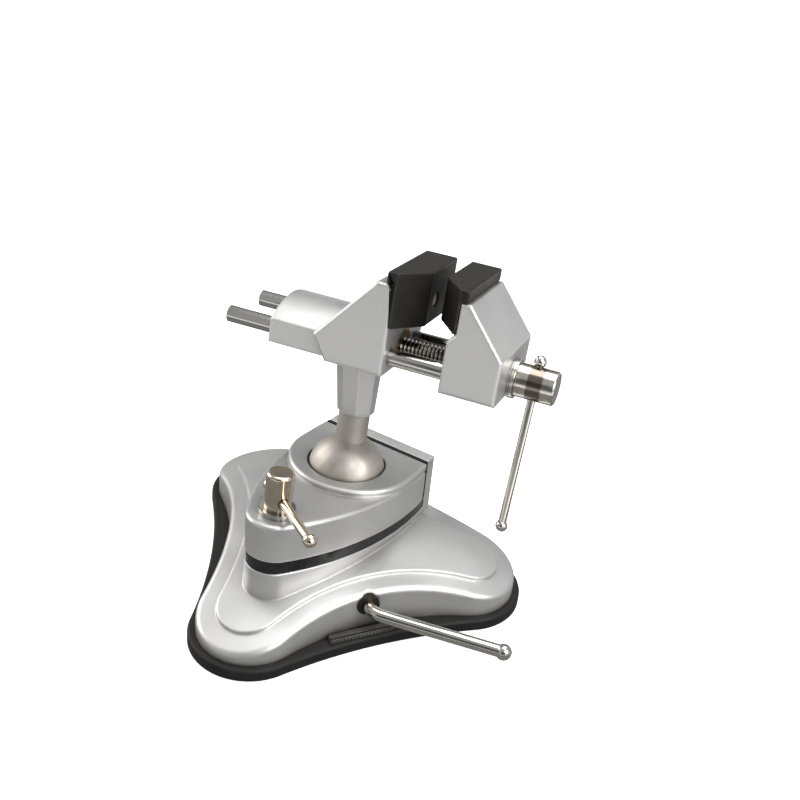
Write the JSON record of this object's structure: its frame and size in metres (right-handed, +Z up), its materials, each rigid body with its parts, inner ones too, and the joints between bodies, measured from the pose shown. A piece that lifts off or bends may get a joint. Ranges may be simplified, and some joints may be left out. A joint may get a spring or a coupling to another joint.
{
  "type": "suction base vise",
  "caption": "Small bench vise on a lobed suction foot with a clamped ball joint, padded jaws on twin rods and a screw with a sliding bar.",
  "frame": {"origin": "middle of the foot on the surface that it stands on, under the ball centre", "axes": "+Z up, -Y towards the front lobe with the clamp screw"},
  "size_m": [0.1586, 0.1228, 0.1345],
  "materials": {
    "cast_silver": "satin silver paint on a casting",
    "base_rubber": "matte black",
    "jaw_rubber": "worn black",
    "gasket_black": "gloss black",
    "ball_satin": "satin",
    "seat_plastic": "matte black",
    "brass": "turned",
    "bright_rod": "polished",
    "plated_screw": "plated, turned",
    "plated_bar": "bright plated",
    "washer_steel": "zinc plated",
    "inner_steel": "plain"
  },
  "bodies": {
    "base": {"base_casting": "cast_silver", "suction_pad": "base_rubber", "socket_gasket": "gasket_black", "clamp_insert": "brass", "shaft_bush": "brass"},
    "lever": {"suction_lever": "plated_bar", "lever_knob": "plated_bar", "lifting_cam": "inner_steel", "cam_pin": "inner_steel", "shaft_clip": "washer_steel"},
    "puller": {"pull_yoke": "inner_steel", "pull_plate": "inner_steel"},
    "seat": {"ball_seat": "seat_plastic"},
    "stud": {"ball_stud": "ball_satin"},
    "head": {"fixed_jaw": "cast_silver", "jaw_nut": "brass", "stem_grub": "inner_steel", "fixed_jaw_pad": "jaw_rubber", "fixed_pad_screw": "washer_steel"},
    "moving_jaw": {"movable_jaw": "cast_silver", "movable_jaw_pad": "jaw_rubber", "movable_pad_screw": "washer_steel", "guide_rods": "bright_rod", "rod_grubs": "inner_steel", "thrust_washer": "washer_steel"},
    "drive_screw": {"lead_screw": "plated_screw", "screw_clip": "washer_steel"},
    "tommy": {"tommy_bar": "plated_bar", "tommy_knob": "plated_bar"},
    "clamp_cover": {"clamp_plate": "cast_silver"},
    "clamp_ring": {"clamp_washer": "washer_steel"},
    "clamp_bolt": {"clamp_screw": "plated_screw"},
    "clamp_handle": {"clamp_bar": "plated_bar", "clamp_bar_knob": "plated_bar"}
  },
  "joints": [
    {"name": "suction_lever", "type": "hinge", "parent": "base", "child": "lever", "pos_m": [0, 0, 0.0157], "axis": [0.7431, -0.6691, 0], "range_deg": [0, 180.01]},
    {"name": "pull_lift", "type": "slide", "parent": "base", "child": "puller", "axis": [0, 0, 1], "range_m": [0, 0.0026]},
    {"name": "ball_turn", "type": "hinge", "parent": "base", "child": "seat", "pos_m": [0, 0, 0.045], "axis": [0, 0, 1], "continuous": true},
    {"name": "ball_tilt", "type": "hinge", "parent": "seat", "child": "stud", "pos_m": [0, 0, 0.045], "axis": [0.9823, 0.1874, 0], "range_deg": [-12, 32]},
    {"name": "head_spin", "type": "hinge", "parent": "stud", "child": "head", "pos_m": [0, 0, 0.045], "axis": [-0.0335, 0.1756, 0.9839], "continuous": true},
    {"name": "jaw_slide", "type": "slide", "parent": "head", "child": "moving_jaw", "axis": [0.9823, 0.1874, 0], "range_m": [-0.0051, 0.034]},
    {"name": "lead_turn", "type": "hinge", "parent": "moving_jaw", "child": "drive_screw", "pos_m": [-0.00183, 0.00959, 0.09872], "axis": [0.9823, 0.1874, 0], "range_deg": [-1224.1, 8160.1]},
    {"name": "tommy_slide", "type": "slide", "parent": "drive_screw", "child": "tommy", "axis": [-0.0579, 0.3035, 0.9511], "range_m": [0, 0.0464]},
    {"name": "plate_lift", "type": "hinge", "parent": "base", "child": "clamp_cover", "pos_m": [0, 0.02035, 0.03015], "axis": [-1, 0, 0], "range_deg": [0, 0.2637]},
    {"name": "washer_lift", "type": "slide", "parent": "base", "child": "clamp_ring", "axis": [0, 0.1055, 0.9944], "range_m": [0, 0.00034722]},
    {"name": "clamp_turn", "type": "hinge", "parent": "clamp_ring", "child": "clamp_bolt", "pos_m": [0, -0.0439, 0.05086], "axis": [0, 0.1055, 0.9944], "range_deg": [0, 100.01]},
    {"name": "clamp_bar_slide", "type": "slide", "parent": "clamp_bolt", "child": "clamp_handle", "axis": [0.8545, -0.5166, 0.0548], "range_m": [-0.0206, 0]}
  ],
  "couplings": [
    {"joint": "suction_lever", "follows": "pull_lift", "rad_per_m": 1208.3},
    {"joint": "lead_turn", "follows": "jaw_slide", "rad_per_m": 4188.8},
    {"joint": "clamp_turn", "follows": "washer_lift", "rad_per_m": 5026.5},
    {"joint": "plate_lift", "follows": "washer_lift", "rad_per_m": 13.23}
  ]
}
